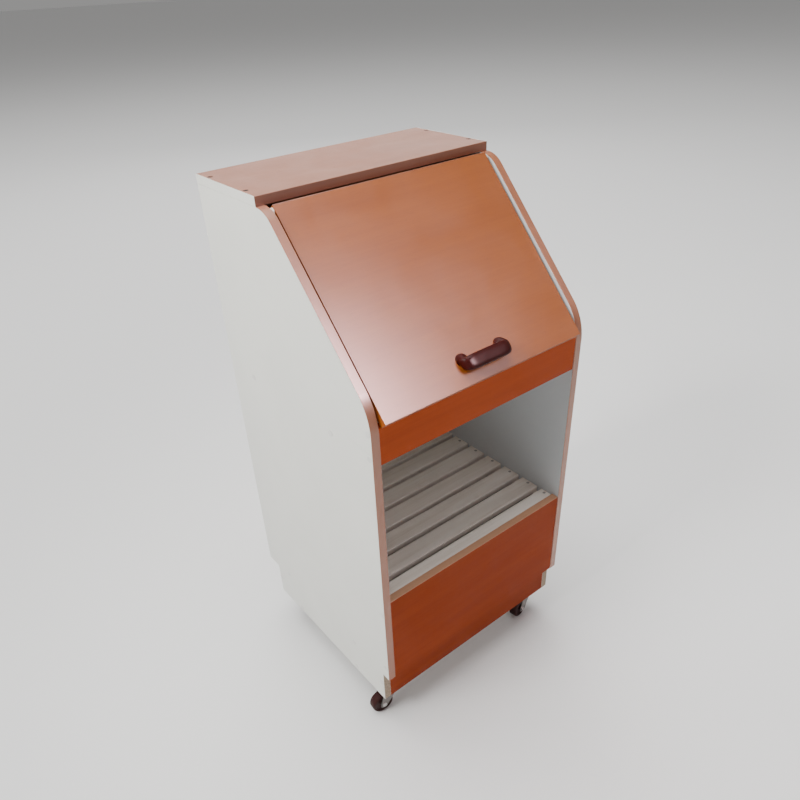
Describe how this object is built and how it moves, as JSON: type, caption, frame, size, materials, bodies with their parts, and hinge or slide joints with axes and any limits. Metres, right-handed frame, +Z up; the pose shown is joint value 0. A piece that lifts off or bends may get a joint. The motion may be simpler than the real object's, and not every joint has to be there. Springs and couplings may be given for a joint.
{
  "type": "bread cabinet with flap lid",
  "caption": "Free-standing bread cabinet on swivel casters: white side boards, slanted cherry flap lid with a brown bow handle over a bread bin, open slatted rack and closed lower front.",
  "frame": {"origin": "on the floor under the middle of the overall plan outline, including the lid's front edge and handle", "axes": "+Z up, +X to the right seen from the front, front and lid towards -Y"},
  "size_m": [0.5228, 0.4886, 1.072],
  "materials": {
    "white_board": "white melamine-faced board, satin",
    "cherry_board": "cherry-pattern melamine-faced board, satin",
    "cherry_board_dark": "cherry-pattern melamine-faced board, satin",
    "cherry_edge": "cherry edge banding, satin",
    "hardboard": "plain hardboard",
    "slat_wood": "planed pale timber, matt",
    "white_cap": "white moulded caps",
    "zinc_screw": "zinc-plated",
    "dark_screw": "dark burnished",
    "steel_pin": "bright steel",
    "nylon": "natural nylon",
    "brown_handle": "dark brown, semi-gloss",
    "caster_metal": "zinc-plated pressed steel",
    "wheel_brown": "dark brown hard tyre"
  },
  "bodies": {
    "cabinet": {"side_panel_left": "white_board", "side_panel_right": "white_board", "edge_band_left": "cherry_edge", "edge_band_right": "cherry_edge", "top_panel": "cherry_board", "top_front_band": "cherry_edge", "top_end_bands": "white_board", "back_panel": "hardboard", "bin_floor": "white_board", "compartment_floor": "white_board", "base_board": "white_board", "front_rail": "cherry_board", "lower_front_panel": "cherry_board_dark", "lower_front_band": "cherry_edge", "kick_board_front": "cherry_board_dark", "kick_board_rear": "white_board", "rack_bearer_left": "slat_wood", "rack_bearer_right": "slat_wood", "rack_slat_1": "slat_wood", "rack_slat_2": "slat_wood", "rack_slat_3": "slat_wood", "rack_slat_4": "slat_wood", "rack_slat_5": "slat_wood", "rack_slat_6": "slat_wood", "rack_slat_7": "slat_wood", "rack_slat_8": "slat_wood", "slat_screws": "zinc_screw", "bearer_screws": "zinc_screw", "carcass_screws": "zinc_screw", "screw_caps": "white_cap", "top_screws": "dark_screw", "pivot_pin_left": "steel_pin", "pivot_pin_right": "steel_pin", "pivot_washer_left": "nylon", "pivot_washer_right": "nylon", "caster_plate_front_left": "caster_metal", "caster_plate_front_right": "caster_metal", "caster_plate_rear_left": "caster_metal", "caster_plate_rear_right": "caster_metal", "caster_screws": "zinc_screw"},
    "lid": {"lid_panel": "cherry_board", "lid_lower_band": "cherry_edge", "lid_upper_band": "cherry_edge", "lid_bush_left": "nylon", "lid_bush_right": "nylon", "lid_handle": "brown_handle", "handle_screws": "zinc_screw"},
    "swivel_front_left": {"fork_front_left": "caster_metal", "axle_front_left": "steel_pin"},
    "roller_front_left": {"wheel_front_left": "wheel_brown"},
    "swivel_front_right": {"fork_front_right": "caster_metal", "axle_front_right": "steel_pin"},
    "roller_front_right": {"wheel_front_right": "wheel_brown"},
    "swivel_rear_left": {"fork_rear_left": "caster_metal", "axle_rear_left": "steel_pin"},
    "roller_rear_left": {"wheel_rear_left": "wheel_brown"},
    "swivel_rear_right": {"fork_rear_right": "caster_metal", "axle_rear_right": "steel_pin"},
    "roller_rear_right": {"wheel_rear_right": "wheel_brown"}
  },
  "joints": [
    {"name": "lid_hinge", "type": "hinge", "parent": "cabinet", "child": "lid", "pos_m": [0, 0.023, 1.04717], "axis": [-1, 0, 0], "range_deg": [0, 151]},
    {"name": "swivel_front_left", "type": "hinge", "parent": "cabinet", "child": "swivel_front_left", "pos_m": [-0.212, -0.175, 0.065], "axis": [0, 0, 1], "continuous": true},
    {"name": "swivel_front_right", "type": "hinge", "parent": "cabinet", "child": "swivel_front_right", "pos_m": [0.212, -0.175, 0.065], "axis": [0, 0, 1], "continuous": true},
    {"name": "swivel_rear_left", "type": "hinge", "parent": "cabinet", "child": "swivel_rear_left", "pos_m": [-0.212, 0.165, 0.065], "axis": [0, 0, 1], "continuous": true},
    {"name": "swivel_rear_right", "type": "hinge", "parent": "cabinet", "child": "swivel_rear_right", "pos_m": [0.212, 0.165, 0.065], "axis": [0, 0, 1], "continuous": true},
    {"name": "roll_front_left", "type": "hinge", "parent": "swivel_front_left", "child": "roller_front_left", "pos_m": [-0.23587, -0.17249, 0.025], "axis": [-0.1045, -0.9945, 0], "continuous": true},
    {"name": "roll_front_right", "type": "hinge", "parent": "swivel_front_right", "child": "roller_front_right", "pos_m": [0.18837, -0.17917, 0.025], "axis": [0.1736, -0.9848, 0], "continuous": true},
    {"name": "roll_rear_left", "type": "hinge", "parent": "swivel_rear_left", "child": "roller_rear_left", "pos_m": [-0.18945, 0.17321, 0.025], "axis": [-0.342, 0.9397, 0], "continuous": true},
    {"name": "roll_rear_right", "type": "hinge", "parent": "swivel_rear_right", "child": "roller_rear_right", "pos_m": [0.23577, 0.16834, 0.025], "axis": [-0.1392, 0.9903, 0], "continuous": true}
  ]
}
